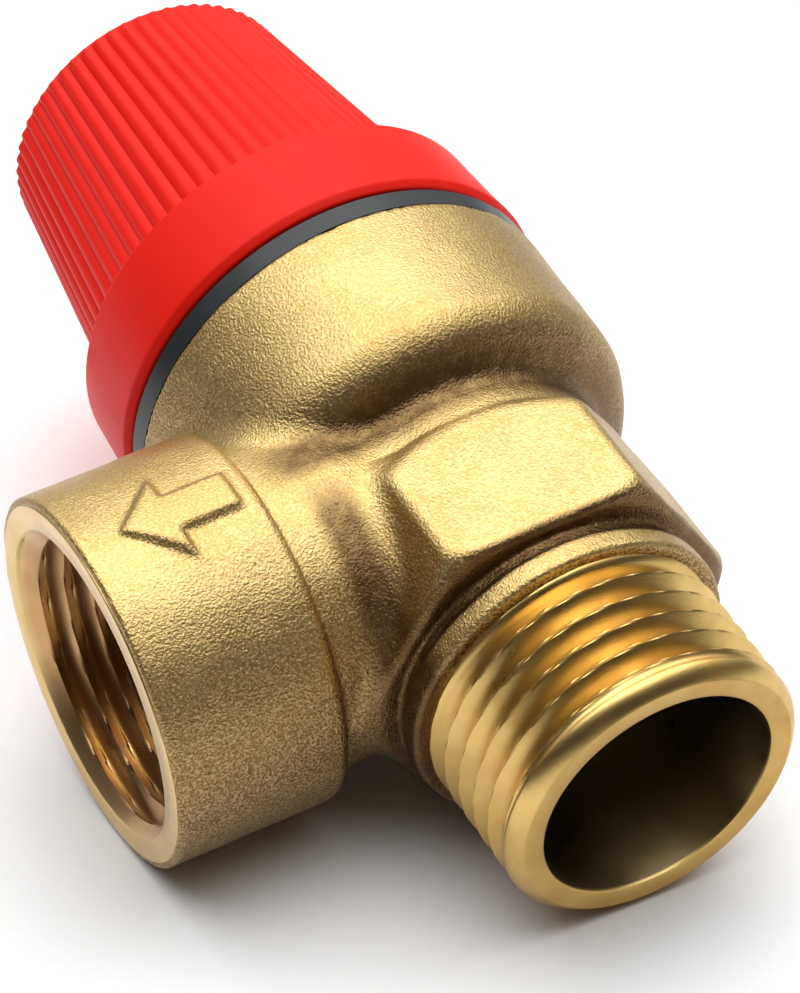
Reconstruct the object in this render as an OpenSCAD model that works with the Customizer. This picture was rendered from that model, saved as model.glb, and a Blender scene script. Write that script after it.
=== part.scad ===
// Angle pressure relief valve with G 1/2 connections: a forged brass body with a male inlet and a
// female outlet, a spring-loaded disc under a diaphragm, and a ribbed knob that lifts the disc by hand.
// Every part is drawn around the inlet axis, with z = 0 at the inlet's end and the outlet towards -X,
// and lie_down() then lays the whole valve on its side, the way it rests on a table.

/* [Inlet] */
// Major diameter of the male inlet thread
inlet_thread_d = 20.955; // [20.7:0.005:21.2]
// Height at which the inlet thread ends, under the collar
inlet_thread_top = 10.9; // [9.5:0.1:11.5]
// Diameter of the inlet's flat end ring
inlet_end_d = 19.2; // [17.6:0.1:19.5]
// Height of the chamfer at the thread's start
inlet_chamfer = 1.2; // [0.6:0.1:1.8]
// Diameter of the inlet bore
inlet_bore_d = 16.24; // [14:0.02:16.8]
// Depth of the inlet bore, up to the seat's nozzle
inlet_bore_h = 15.2; // [14:0.1:15.6]
// Diameter of the cast collar above the thread
collar_d = 22.6; // [21.6:0.1:23.4]
// Height of the collar's top
collar_top = 12.4; // [12:0.1:13]

/* [Wrench hexagon] */
// Width across the flats
hex_af = 24; // [23.6:0.1:25]
// Height at which the hexagon starts
hex_bottom = 13.6; // [13.2:0.1:14.5]
// Height at which the top chamfer starts at the corners
hex_corner_top = 22.3; // [20:0.1:22.6]
// Height at which the flats end
hex_top = 24.6; // [24:0.1:25]

/* [Cup] */
// Radius of the neck between the hexagon and the cup
neck_r = 11.8; // [11.4:0.05:11.9]
// Height at which the neck starts to flare into the cup
neck_top = 26.7; // [26:0.1:27.2]
// Radius of the cup at its foot
cup_foot_r = 15.45; // [15:0.05:15.5]
// Radius of the cup at its rim
cup_rim_r = 15.6; // [15.4:0.05:15.8]
// Height of the cup's rim
cup_rim_z = 40.25; // [39.5:0.05:40.6]
// Radius of the rounded edge under the cup
cup_round = 1.6; // [1:0.1:2]

/* [Outlet port] */
// Distance from the inlet axis to the outlet's mouth
port_reach = 26.9; // [25:0.1:29]
// Height of the outlet axis
port_z = 25.35; // [25:0.05:25.6]
// Outside radius of the outlet
port_r = 12.69; // [12.2:0.01:13]
// Distance from the inlet axis to the step behind the outlet's barrel
port_step_x = 14.65; // [13.5:0.05:15]
// Radius of the neck between the barrel and the body
port_neck_r = 11.6; // [11:0.1:12]
// Minor diameter of the female outlet thread
outlet_thread_d = 18.631; // [18.4:0.001:18.9]
// Distance from the inlet axis to the thread's inner end
outlet_thread_end = 15.4; // [15.2:0.1:17]
// Radius of the countersink at the mouth
outlet_mouth_r = 10.6; // [10:0.1:11]
// Depth of the countersink
outlet_mouth_h = 0.8; // [0.5:0.1:1.3]
// Radius of the passage from the chamber to the outlet
passage_r = 6.3; // [5:0.1:6.5]

/* [Flow arrow] */
// Distance from the inlet axis to the arrow's tip
arrow_tip = 24; // [23:0.1:25]
// Length of the whole arrow
arrow_length = 7.8; // [6:0.1:8.5]
// Length of the arrow's head
arrow_head = 3.6; // [3:0.1:4]
// Width of the arrow's head
arrow_width = 7; // [5:0.1:8]
// Width of the arrow's shaft
arrow_shaft = 3.1; // [2:0.1:4]
// Height by which the arrow stands out of the barrel
arrow_relief = 0.45; // [0.2:0.05:0.7]

/* [Seat and disc] */
// Radius of the orifice
orifice_r = 6; // [5:0.1:6.4]
// Outside radius of the seat's nozzle
nozzle_r = 7.4; // [7:0.1:7.5]
// Height of the seat
seat_z = 19.4; // [19:0.1:20]
// Radius of the chamber around the seat
chamber_r = 9.8; // [9.4:0.1:10]
// Height of the chamber's floor
chamber_z = 17; // [16.6:0.1:17.4]
// Radius of the rubber disc that closes the seat
seal_r = 7.9; // [7.7:0.1:8]
// Thickness of the rubber disc
seal_h = 2.5; // [2:0.1:3]
// Outside radius of the disc holder
holder_r = 8.8; // [8.6:0.1:9]

/* [Diaphragm] */
// Height of the ledge that carries the diaphragm
ledge_z = 33.2; // [33:0.1:33.5]
// Radius of the cup's threaded bore
cup_bore_r = 13.4; // [13.2:0.05:13.6]
// Thickness of the diaphragm
diaphragm_h = 1.2; // [0.8:0.1:1.4]
// Thickness of the washers on the diaphragm
washer_h = 0.6; // [0.5:0.1:0.8]

/* [Spindle] */
// Radius of the spindle
spindle_r = 2.5; // [2:0.1:3]
// Height of the spindle's foot, inside the disc holder
spindle_foot = 27; // [26:0.1:28]
// Height of the spindle's top
spindle_top = 68.6; // [68:0.1:68.7]

/* [Spring] */
// Mean radius of the spring
spring_r = 6.9; // [6.8:0.05:7.2]
// Radius of the spring's wire
spring_wire_r = 1.05; // [0.8:0.05:1.2]
// Number of turns
spring_turns = 7; // [6:1:8]
// Height of the lower seat's rim, on which the spring stands
lower_seat_top = 36.6; // [36.2:0.1:37]
// Height of the upper seat's underside
upper_seat_z = 54; // [53:0.1:54.4]

/* [Bonnet] */
// Radius of the flange that shows between the cup and the knob
flange_r = 15.5; // [15.2:0.05:15.6]
// Height of the flange's top
flange_top = 41.9; // [41.4:0.05:42]
// Radius of the tower at its foot
tower_foot_r = 11.3; // [10.8:0.1:11.6]
// Radius of the tower at its top
tower_top_r = 10; // [9.8:0.1:10.2]
// Radius of the tower's bore
tower_bore_r = 8.9; // [8.6:0.05:9]
// Height of the lifting ramps' crest
cam_z = 60.6; // [60:0.1:61]
// Slope of the lifting ramps
cam_slope = 0.18; // [0.1:0.01:0.19]

/* [Knob] */
// Radius of the skirt's widest edge
skirt_r = 15.75; // [15.65:0.05:16.2]
// Height of the skirt's widest edge
skirt_z = 42.7; // [42.5:0.05:43]
// Height of the knob's lower rim
knob_bottom = 42.15; // [42.1:0.01:42.3]
// Radius of the skirt's upper edge
skirt_top_r = 15.25; // [15:0.05:15.4]
// Radius of the grip where it rises out of the skirt's shoulder
grip_foot_r = 13.4; // [13.3:0.05:14]
// Height of the shoulder between the skirt and the grip
grip_foot_z = 49.4; // [49:0.1:50]
// Radius of the grip at its top
grip_top_r = 10.6; // [10.4:0.05:11]
// Height of the knob's top
knob_top = 70.1; // [70:0.1:71]
// Thickness of the knob's wall
knob_wall = 1.4; // [1.3:0.05:1.4]
// Height of the web that lifts the spindle
web_z = 63.5; // [63.3:0.1:63.6]
// Thickness of the web
web_h = 2; // [1.8:0.1:2.1]

/* [Hidden] */

$fn = 64;
// Gap between faces that part when the valve opens
lift_gap = 0.05;
// Radial clearance of the spindle in its guides
running_gap = 0.06;
// Gap between pieces that are screwed or pressed together
seat_gap = 0.03;
// Length by which a cut runs past the face that it opens
over = 1;
// Segments in a rounded edge
round_steps = 6;

inlet_r = inlet_thread_d / 2;
edge = 0.4;
rim_edge = 0.15;
hex_corner_r = hex_af / 2 / cos(30);
cup_foot_z = neck_top + 3.4;
nozzle_cone_h = 1;
thread_runout = 1.2;
bonnet_foot = ledge_z + diaphragm_h + washer_h;
spigot_r = cup_bore_r - seat_gap;
diaphragm_top = ledge_z + diaphragm_h;
washer_top = diaphragm_top + lift_gap + washer_h;
holder_neck_r = 4;
holder_waist_z = 24;
hub_r = 5.2;
nut_af = 8.4;
cap_r = 8.3;
cap_h = 1.2;
nut_h = 2.2;
cap_recess_wall = 0.7;
oring_r = 0.65;
oring_z = cup_rim_z - 1.6;
grip_slope = (grip_foot_r - grip_top_r) / (knob_top - edge - grip_foot_z);
adjuster_z = upper_seat_z + 1.6;
adjuster_h = 2.6;
bush_r = 3.6;
spindle_play = 0.5;
lift_washer_r = 5.2;
clamp_washer_r = 7.6;
screw_bore_r = 1.53;
screw_shank_r = 1.5;
screw_head_r = 2.9;
screw_head_h = 1.5;
seal_hole_r = 1.6;
seal_washer_r = 3.8;

// The valve lies on the cup's rounded foot, on the thread's first crest and on the outlet's rim, so its
// two tilts follow from those three.
port_rim_x = port_reach - edge;
foot_run = [cup_foot_z - inlet_chamfer, cup_foot_r - cup_round - inlet_r];
pitch = asin(cup_round / norm(foot_run)) + atan(foot_run[1] / foot_run[0]);
port_lift = sin(pitch) * (port_z - inlet_chamfer) + cos(pitch) * inlet_r;
port_tilt = asin(port_lift / norm([port_rim_x, port_r])) - atan(port_r / port_rim_x);
roll = asin(sin(port_tilt) / cos(pitch));
floor_drop = cos(pitch) * inlet_r - sin(pitch) * inlet_chamfer;
x_high = sin(pitch) * inlet_end_d / 2;
x_low = -cos(pitch) * knob_top - sin(pitch) * (grip_top_r - edge);
y_high = skirt_r;
y_low = -cos(roll) * port_reach - sin(roll) * (port_r - edge);

// Points on an arc around [cx, cy], from angle a0 to angle a1
function arc(cx, cy, r, a0, a1) =
    [for (i = [0 : round_steps]) let (a = a0 + (a1 - a0) * i / round_steps) [cx + r * cos(a), cy + r * sin(a)]];

module lie_down() {
    translate([-(x_high + x_low) / 2, -(y_high + y_low) / 2, floor_drop])
        rotate([0, pitch, 0])
            rotate([0, 0, 90])
                rotate([-90, 0, 0])
                    rotate([0, 0, -roll])
                        children();
}

// A turned piece from its profile, as [radius, height] points
module turned(profile) {
    rotate_extrude() polygon(profile);
}

// A ring between two radii, from height z0 to z1
module ring(r_in, r_out, z0, z1) {
    turned([[r_in, z0], [r_out, z0], [r_out, z1], [r_in, z1]]);
}

// Carries a shape drawn along +Z to the outlet's axis, pointing out of the mouth
module on_port() {
    translate([0, 0, port_z]) rotate([0, -90, 0]) children();
}

module stem_outside() {
    turned(concat(
        [[0, 0], [inlet_end_d / 2, 0], [inlet_r, inlet_chamfer], [inlet_r, inlet_thread_top]],
        [[collar_d / 2 - edge, inlet_thread_top], [collar_d / 2, inlet_thread_top + edge]],
        [[collar_d / 2, collar_top], [neck_r - edge, hex_bottom], [neck_r, hex_top], [neck_r, neck_top]],
        [[neck_r + edge, neck_top + edge * 2]],
        arc(cup_foot_r - cup_round, cup_foot_z, cup_round, -60, 0),
        [[cup_rim_r, cup_rim_z - rim_edge], [cup_rim_r - rim_edge, cup_rim_z], [0, cup_rim_z]]
    ));
}

// The hexagon, rounded off at the top by a ball through its corners at hex_corner_top and the neck at hex_top
module wrench_hexagon() {
    ball_z = ((pow(hex_top, 2) - pow(hex_corner_top, 2)) - (pow(hex_corner_r, 2) - pow(neck_r, 2)))
        / (2 * (hex_top - hex_corner_top));
    ball_r = norm([neck_r, hex_top - ball_z]);
    intersection() {
        translate([0, 0, hex_bottom]) cylinder(r = hex_corner_r, h = hex_top - hex_bottom, $fn = 6);
        translate([0, 0, ball_z]) sphere(r = ball_r);
    }
}

module port_outside() {
    on_port() turned([[0, 0], [port_neck_r, 0], [port_neck_r, port_step_x - edge],
                      [port_r - edge, port_step_x], [port_r, port_step_x + edge], [port_r, port_rim_x],
                      [port_r - edge, port_reach], [0, port_reach]]);
}

// The raised arrow on the barrel's front, pointing out of the outlet
module flow_arrow() {
    head_x = arrow_tip - arrow_head;
    tail_x = arrow_tip - arrow_length;
    outline = [[-arrow_tip, 0], [-head_x, arrow_width / 2], [-head_x, arrow_shaft / 2],
               [-tail_x, arrow_shaft / 2], [-tail_x, -arrow_shaft / 2], [-head_x, -arrow_shaft / 2],
               [-head_x, -arrow_width / 2]];
    intersection() {
        translate([0, 0, port_z]) rotate([90, 0, 0]) linear_extrude(port_r + over) polygon(outline);
        on_port() ring(port_r - over, port_r + arrow_relief, port_step_x, port_reach);
    }
}

// The space inside the body: inlet bore, nozzle, chamber and the cup's threaded bore
module main_cavity() {
    turned([[0, -over], [inlet_bore_d / 2, -over], [inlet_bore_d / 2, inlet_bore_h],
            [orifice_r, inlet_bore_h + nozzle_cone_h], [orifice_r, seat_z], [nozzle_r, seat_z],
            [nozzle_r, chamber_z], [chamber_r, chamber_z], [chamber_r, ledge_z], [cup_bore_r, ledge_z],
            [cup_bore_r, cup_rim_z + over], [0, cup_rim_z + over]]);
}

module outlet_cavity() {
    minor_r = outlet_thread_d / 2;
    on_port() turned([[0, 0], [passage_r, 0], [passage_r, outlet_thread_end - thread_runout],
                      [minor_r, outlet_thread_end], [minor_r, port_reach - outlet_mouth_h],
                      [outlet_mouth_r, port_reach], [outlet_mouth_r, port_reach + over],
                      [0, port_reach + over]]);
}

module valve_body() {
    color("#c8a25a") lie_down() difference() {
        union() {
            stem_outside();
            wrench_hexagon();
            port_outside();
            flow_arrow();
        }
        main_cavity();
        outlet_cavity();
    }
}

// Everything above the lifting ramps, which fall away from a crest along the Y axis on both sides
module above_ramps(crest) {
    reach = tower_foot_r + over;
    fall = reach * cam_slope;
    rotate([90, 0, 0]) translate([0, 0, -reach]) linear_extrude(2 * reach)
        polygon([[-reach, crest - fall], [0, crest], [reach, crest - fall],
                 [reach, crest + reach], [-reach, crest + reach]]);
}

module bonnet() {
    groove_r = spigot_r - 2 * oring_r;
    groove_h = oring_r * 1.3;
    color("#24282b") lie_down() difference() {
        turned([[tower_bore_r, bonnet_foot], [spigot_r, bonnet_foot], [spigot_r, oring_z - groove_h],
                [groove_r, oring_z - groove_h], [groove_r, oring_z + groove_h], [spigot_r, oring_z + groove_h],
                [spigot_r, cup_rim_z + seat_gap], [flange_r, cup_rim_z + seat_gap],
                [flange_r, flange_top - rim_edge], [flange_r - rim_edge, flange_top],
                [tower_foot_r, flange_top], [tower_foot_r, grip_foot_z], [tower_top_r, adjuster_z],
                [tower_top_r, cam_z + edge], [tower_bore_r, cam_z + edge]]);
        above_ramps(cam_z);
    }
}

module bonnet_oring() {
    color("#151515") lie_down()
        rotate_extrude() translate([cup_bore_r - oring_r - seat_gap, oring_z]) circle(r = oring_r);
}

// The knob's outside: a lip, a smooth skirt, a shoulder and a tapering grip
module knob_outside() {
    turned([[0, knob_bottom], [skirt_r - 2 * edge, knob_bottom], [skirt_r, skirt_z],
            [skirt_r - edge / 2, skirt_z + 5 * edge], [skirt_top_r, grip_foot_z], [grip_foot_r, grip_foot_z],
            [grip_top_r, knob_top - edge], [grip_top_r - edge, knob_top], [0, knob_top]]);
}

// The hollow under the web
module knob_hollow() {
    hollow_top_r = grip_top_r + grip_slope * (knob_top - edge - web_z) - knob_wall;
    skirt_bore_r = skirt_top_r - knob_wall;
    turned([[0, knob_bottom - over], [skirt_bore_r, knob_bottom - over], [skirt_bore_r, grip_foot_z - knob_wall],
            [grip_foot_r - knob_wall, grip_foot_z], [hollow_top_r, web_z], [0, web_z]]);
}

// The ring under the web, whose ramps ride on the bonnet's and lift the knob as it turns
module knob_ramps() {
    ramp_gap = 0.1;
    intersection() {
        ring(tower_bore_r, tower_top_r, cam_z - over * 3, web_z + over);
        above_ramps(cam_z + ramp_gap);
    }
}

module knob() {
    color("#e02a1f") lie_down() difference() {
        union() {
            difference() {
                knob_outside();
                knob_hollow();
            }
            knob_ramps();
        }
        translate([0, 0, web_z - over]) cylinder(r = spindle_r + running_gap, h = web_h + 2 * over);
        translate([0, 0, web_z + web_h]) cylinder(r = cap_r - cap_recess_wall, h = knob_top - web_z);
        translate([0, 0, knob_top - cap_h]) cylinder(r = cap_r + seat_gap, h = cap_h + over);
    }
}

module top_cap() {
    dish = 0.3;
    color("#e02a1f") lie_down()
        turned([[0, knob_top - cap_h], [cap_r, knob_top - cap_h], [cap_r, knob_top - dish],
                [cap_r - dish, knob_top], [cap_r - 3 * dish, knob_top], [cap_r - 4 * dish, knob_top - dish],
                [0, knob_top - dish]]);
}

module spindle() {
    color("#b9bcc0") lie_down()
        turned([[0, spindle_foot], [spindle_r - edge, spindle_foot], [spindle_r, spindle_foot + edge],
                [spindle_r, spindle_top - edge], [spindle_r - edge, spindle_top], [0, spindle_top]]);
}

// A hexagon nut on the spindle, from height z0
module spindle_nut(z0, across_flats, h) {
    difference() {
        translate([0, 0, z0]) cylinder(r = across_flats / 2 / cos(30), h = h, $fn = 6);
        translate([0, 0, z0 - over]) cylinder(r = spindle_r + seat_gap, h = h + 2 * over);
    }
}

module lift_washer() {
    washer_z = web_z + web_h + lift_gap;
    color("#b9bcc0") lie_down() ring(spindle_r + seat_gap, lift_washer_r, washer_z, washer_z + washer_h);
}

module lift_nut() {
    color("#b9bcc0") lie_down() spindle_nut(web_z + web_h + lift_gap + washer_h, nut_af, nut_h);
}

// The brass piston that holds the rubber disc and passes through the diaphragm
module disc_holder() {
    plate_r = hub_r + 2;
    plate_h = 1;
    color("#c8a25a") lie_down() difference() {
        turned([[0, seat_z + edge], [holder_r, seat_z + 1.5 * edge], [holder_r, holder_waist_z - edge],
                [hub_r + edge, holder_waist_z], [hub_r, holder_waist_z + edge], [hub_r, ledge_z - 2 * plate_h],
                [plate_r, ledge_z - plate_h], [plate_r, ledge_z - lift_gap],
                [holder_neck_r, ledge_z - lift_gap], [holder_neck_r, lower_seat_top - edge], [0, lower_seat_top - edge]]);
        translate([0, 0, seat_z - over]) cylinder(r = seal_r + seat_gap, h = seal_h + lift_gap + over);
        translate([0, 0, seat_z]) cylinder(r = screw_bore_r, h = seal_h + over * 3);
        translate([0, 0, spindle_foot - seat_gap]) cylinder(r = spindle_r + seat_gap, h = spindle_top);
    }
}

module seat_seal() {
    seal_z = seat_z + lift_gap;
    color("#1c1c1e") lie_down() ring(seal_hole_r, seal_r, seal_z, seal_z + seal_h);
}

module seal_washer() {
    color("#b9bcc0") lie_down() ring(seal_hole_r, seal_washer_r, seat_z + lift_gap - washer_h, seat_z + lift_gap);
}

module seal_screw() {
    shank_top = seat_z + seal_h + over * 2;
    under_head = seat_z + lift_gap - washer_h;
    head_z = under_head - screw_head_h;
    slot = 0.7;
    color("#b9bcc0") lie_down() difference() {
        turned([[0, head_z], [screw_head_r, head_z], [screw_head_r, under_head], [screw_shank_r, under_head],
                [screw_shank_r, shank_top], [0, shank_top]]);
        translate([-screw_head_r - over, -slot / 2, head_z - over])
            cube([2 * (screw_head_r + over), slot, slot + over]);
    }
}

module diaphragm() {
    color("#1c1c1e") lie_down() ring(holder_neck_r + seat_gap, spigot_r, ledge_z, diaphragm_top);
}

module diaphragm_ring() {
    color("#b9bcc0") lie_down() ring(chamber_r, spigot_r, diaphragm_top, bonnet_foot);
}

module clamp_washer() {
    color("#b9bcc0") lie_down()
        ring(holder_neck_r + seat_gap, clamp_washer_r, diaphragm_top + lift_gap, washer_top);
}

module lower_spring_seat() {
    color("#b9bcc0") lie_down()
        turned([[holder_neck_r + seat_gap, washer_top], [tower_bore_r - edge, washer_top],
                [tower_bore_r - edge, lower_seat_top], [hub_r + edge, lower_seat_top],
                [hub_r, lower_seat_top + edge], [holder_neck_r + seat_gap, lower_seat_top + edge]]);
}

module clamp_nut() {
    color("#b9bcc0") lie_down() spindle_nut(lower_seat_top + edge, nut_af, nut_h);
}

// Height of the wire's middle after t turns: closed end turns, and even turns between them
function coil_z(t) =
    let (low = lower_seat_top + lift_gap + spring_wire_r, high = upper_seat_z - lift_gap - spring_wire_r)
    let (closed = 2.1 * spring_wire_r, open_turns = spring_turns - 2)
    let (open_pitch = (high - low - 2 * closed) / open_turns)
    t < 1 ? low + closed * t
          : t > spring_turns - 1 ? high - closed * (spring_turns - t)
                                 : low + closed + open_pitch * (t - 1);

// The wire swept along its helix, as rings of points joined by quads
module spring() {
    steps = 20;
    sides = 8;
    rings = steps * spring_turns;
    points = [for (i = [0 : rings], k = [0 : sides - 1])
        let (turn = 360 * i / steps, side = 360 * k / sides)
        let (r = spring_r + spring_wire_r * cos(side))
        [r * cos(turn), r * sin(turn), coil_z(i / steps) + spring_wire_r * sin(side)]];
    walls = [for (i = [0 : rings - 1], k = [0 : sides - 1])
        let (next = (k + 1) % sides)
        [i * sides + k, (i + 1) * sides + k, (i + 1) * sides + next, i * sides + next]];
    start_face = [for (k = [0 : sides - 1]) k];
    end_face = [for (k = [sides - 1 : -1 : 0]) rings * sides + k];
    color("#9a9da1") lie_down() polyhedron(points = points, faces = concat(walls, [start_face, end_face]));
}

module upper_spring_seat() {
    color("#b9bcc0") lie_down()
        turned([[spindle_r + spindle_play, upper_seat_z - edge], [hub_r, upper_seat_z - edge],
                [hub_r + edge, upper_seat_z], [tower_bore_r - edge, upper_seat_z],
                [tower_bore_r - edge, adjuster_z], [spindle_r + spindle_play, adjuster_z]]);
}

// The screw ring that sets the opening pressure, with two slots for a pin wrench
module adjusting_nut() {
    slot = 2;
    color("#c8a25a") lie_down() difference() {
        ring(bush_r + seat_gap, tower_bore_r - seat_gap, adjuster_z, adjuster_z + adjuster_h);
        for (side = [0, 180]) rotate([0, 0, side])
            translate([bush_r + over, -slot / 2, adjuster_z + adjuster_h - over])
                cube([tower_bore_r, slot, over * 2]);
    }
}

module guide_bush() {
    color("#e6e2d6") lie_down()
        ring(spindle_r + running_gap, bush_r, adjuster_z, adjuster_z + adjuster_h);
}

valve_body();
bonnet();
bonnet_oring();
knob();
top_cap();
spindle();
lift_washer();
lift_nut();
disc_holder();
seat_seal();
seal_washer();
seal_screw();
diaphragm();
diaphragm_ring();
clamp_washer();
lower_spring_seat();
clamp_nut();
spring();
upper_spring_seat();
adjusting_nut();
guide_bush();
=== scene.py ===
"""Looks of the pressure relief valve: cast brass body, cut threads and ribbed red knob.

Pieces are modelled in millimetres in the valve's own axes (inlet end at z = 0, knob up, outlet towards -X),
and then laid down on the floor as the CAD part lies.
"""
import math

import bpy
import numpy as np
from mathutils import Matrix, Vector


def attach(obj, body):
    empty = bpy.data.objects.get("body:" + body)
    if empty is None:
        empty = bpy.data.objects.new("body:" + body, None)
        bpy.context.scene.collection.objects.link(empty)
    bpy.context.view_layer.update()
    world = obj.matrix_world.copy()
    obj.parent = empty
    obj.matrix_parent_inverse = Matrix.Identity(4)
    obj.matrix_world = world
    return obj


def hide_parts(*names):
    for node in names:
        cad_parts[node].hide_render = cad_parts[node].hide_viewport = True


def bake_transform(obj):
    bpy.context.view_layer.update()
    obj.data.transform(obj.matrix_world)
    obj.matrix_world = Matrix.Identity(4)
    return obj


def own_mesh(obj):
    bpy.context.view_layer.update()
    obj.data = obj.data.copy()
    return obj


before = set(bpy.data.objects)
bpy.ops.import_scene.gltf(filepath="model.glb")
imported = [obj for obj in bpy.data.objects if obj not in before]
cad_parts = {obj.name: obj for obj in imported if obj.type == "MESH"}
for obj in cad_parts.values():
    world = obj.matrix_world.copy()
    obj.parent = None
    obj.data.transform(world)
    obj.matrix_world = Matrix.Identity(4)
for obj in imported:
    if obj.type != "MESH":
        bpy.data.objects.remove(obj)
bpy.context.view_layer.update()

MM = 0.001
TURN = 2 * math.pi

# ---------------------------------------------------------------- sizes in mm, the same as the CAD part's
EDGE = 0.4
INLET_R = 10.4775
INLET_END_R = 9.6
INLET_CHAMFER = 1.2
INLET_BORE_R = 8.12
INLET_BORE_TOP = 15.2
INLET_THREAD_TOP = 10.9
COLLAR_R = 11.3
HEX_HALF = 12.0
HEX_BOTTOM = 13.6
HEX_CORNER_TOP = 22.3
HEX_TOP = 24.6
NECK_R = 11.8
CUP_FOOT_R = 15.45
CUP_FOOT_Z = 30.1
CUP_ROUND = 1.6
CUP_RIM_R = 15.6
CUP_RIM_Z = 40.25
RIM_EDGE = 0.15
CUP_BORE_R = 13.4
LEDGE_Z = 33.2
CHAMBER_R = 9.8
CHAMBER_Z = 17.0
SEAT_Z = 19.4
NOZZLE_R = 7.4
ORIFICE_R = 6.0
PORT_REACH = 26.9
PORT_Z = 25.35
PORT_R = 12.69
PORT_STEP = 14.65
PORT_MOUTH_R = 10.6
PORT_MOUTH_H = 0.8
PORT_THREAD_END = 15.4
PASSAGE_R = 6.3
ARROW_TIP = 24.0
ARROW_LENGTH = 7.8
ARROW_HEAD = 3.6
ARROW_HALF_HEAD = 3.5
ARROW_HALF_SHAFT = 1.55
ARROW_RELIEF = 0.45
KNOB_BOTTOM = 42.15
SKIRT_R = 15.75
SKIRT_Z = 42.7
SKIRT_TOP_R = 15.25
GRIP_FOOT_R = 13.4
GRIP_FOOT_Z = 49.4
GRIP_TOP_R = 10.6
KNOB_TOP = 70.1
KNOB_WALL = 1.4
WEB_Z = 63.5
WEB_TOP = 65.5
CAP_R = 8.3
CAP_H = 1.2
SPRING_R = 6.9
SPRING_WIRE_R = 1.05
SPRING_TURNS = 7
SPRING_LOW = 36.65
SPRING_HIGH = 53.95
SEAT_GAP = 0.03
DIAPHRAGM_TOP = 34.4

# ---------------------------------------------------------------- sizes in mm of the finer shapes made here
COLLAR_TOP = 12.7
COLLAR_NECK_R = 10.9
PORT_NECK_R = 11.3
THREAD_PITCH = 1.814
THREAD_DEPTH = 1.08
LINER_R = 11.0
MOUTH_STEP = 0.06
RIBS = 60


def resting_matrix():
    """Carries millimetres in the valve's axes to metres in the row frame, as the CAD part lies."""
    foot_run = (CUP_FOOT_Z - INLET_CHAMFER, CUP_FOOT_R - CUP_ROUND - INLET_R)
    pitch = math.asin(CUP_ROUND / math.hypot(*foot_run)) + math.atan(foot_run[1] / foot_run[0])
    rim_x = PORT_REACH - EDGE
    lift = math.sin(pitch) * (PORT_Z - INLET_CHAMFER) + math.cos(pitch) * INLET_R
    tilt = math.asin(lift / math.hypot(rim_x, PORT_R)) - math.atan(PORT_R / rim_x)
    roll = math.asin(math.sin(tilt) / math.cos(pitch))
    x_high = math.sin(pitch) * INLET_END_R
    x_low = -math.cos(pitch) * KNOB_TOP - math.sin(pitch) * (GRIP_TOP_R - EDGE)
    y_low = -math.cos(roll) * PORT_REACH - math.sin(roll) * (PORT_R - EDGE)
    drop = math.cos(pitch) * INLET_R - math.sin(pitch) * INLET_CHAMFER
    place = Matrix.Translation((-(x_high + x_low) / 2, -(SKIRT_R + y_low) / 2, drop))
    turn = Matrix.Rotation(pitch, 4, "Y") @ Matrix.Rotation(math.pi / 2, 4, "Z")
    turn = turn @ Matrix.Rotation(-math.pi / 2, 4, "X") @ Matrix.Rotation(-roll, 4, "Z")
    return Matrix.Scale(MM, 4) @ place @ turn


RESTING = resting_matrix()


# ---------------------------------------------------------------- meshes
def piece(name, points, faces, material, body, smooth_angle=40):
    """A mesh from points in mm in the valve's axes, laid down, and riding on a body if one is given."""
    laid_down = np.asarray(points) @ np.array(RESTING.to_3x3()).T + np.array(RESTING.translation)
    mesh = bpy.data.meshes.new(name)
    mesh.from_pydata(laid_down.tolist(), [], faces)
    mesh.update()
    obj = bpy.data.objects.new(name, mesh)
    bpy.context.scene.collection.objects.link(obj)
    mesh.shade_smooth()
    mesh.set_sharp_from_angle(angle=math.radians(smooth_angle))
    obj.data.materials.append(material)
    if body:
        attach(obj, body)
    return obj


def lathe_faces(rows, columns):
    """Quads of a closed surface of rows x columns points, both directions wrapping round."""
    row, column = np.meshgrid(np.arange(rows), np.arange(columns), indexing="ij")
    next_row = (row + 1) % rows
    next_column = (column + 1) % columns
    corners = (row * columns + column, row * columns + next_column,
               next_row * columns + next_column, next_row * columns + column)
    return np.stack([corner.ravel() for corner in corners], axis=1).tolist()


def lathe_points(radii, heights, angles):
    """Points of a turned surface whose radii and heights may vary with the angle, rows along the profile."""
    radii, heights, angles = np.broadcast_arrays(radii, heights, angles)
    return np.stack([radii * np.cos(angles), radii * np.sin(angles), heights], axis=-1).reshape(-1, 3)


def tube_faces(rings, sides):
    """Faces of a tube of rings with so many points each, closed by a flat cap at either end."""
    faces = []
    for ring in range(rings - 1):
        for side in range(sides):
            ahead = (side + 1) % sides
            faces.append([ring * sides + side, (ring + 1) * sides + side,
                          (ring + 1) * sides + ahead, ring * sides + ahead])
    faces.append(list(range(sides)))
    faces.append(list(range(rings * sides - 1, (rings - 1) * sides - 1, -1)))
    return faces


def to_port(points):
    """Carries points drawn along +Z to the outlet's axis, pointing out of the mouth."""
    x, y, z = points[:, 0], points[:, 1], points[:, 2]
    return np.stack([-z, y, x + PORT_Z], axis=1)


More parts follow.
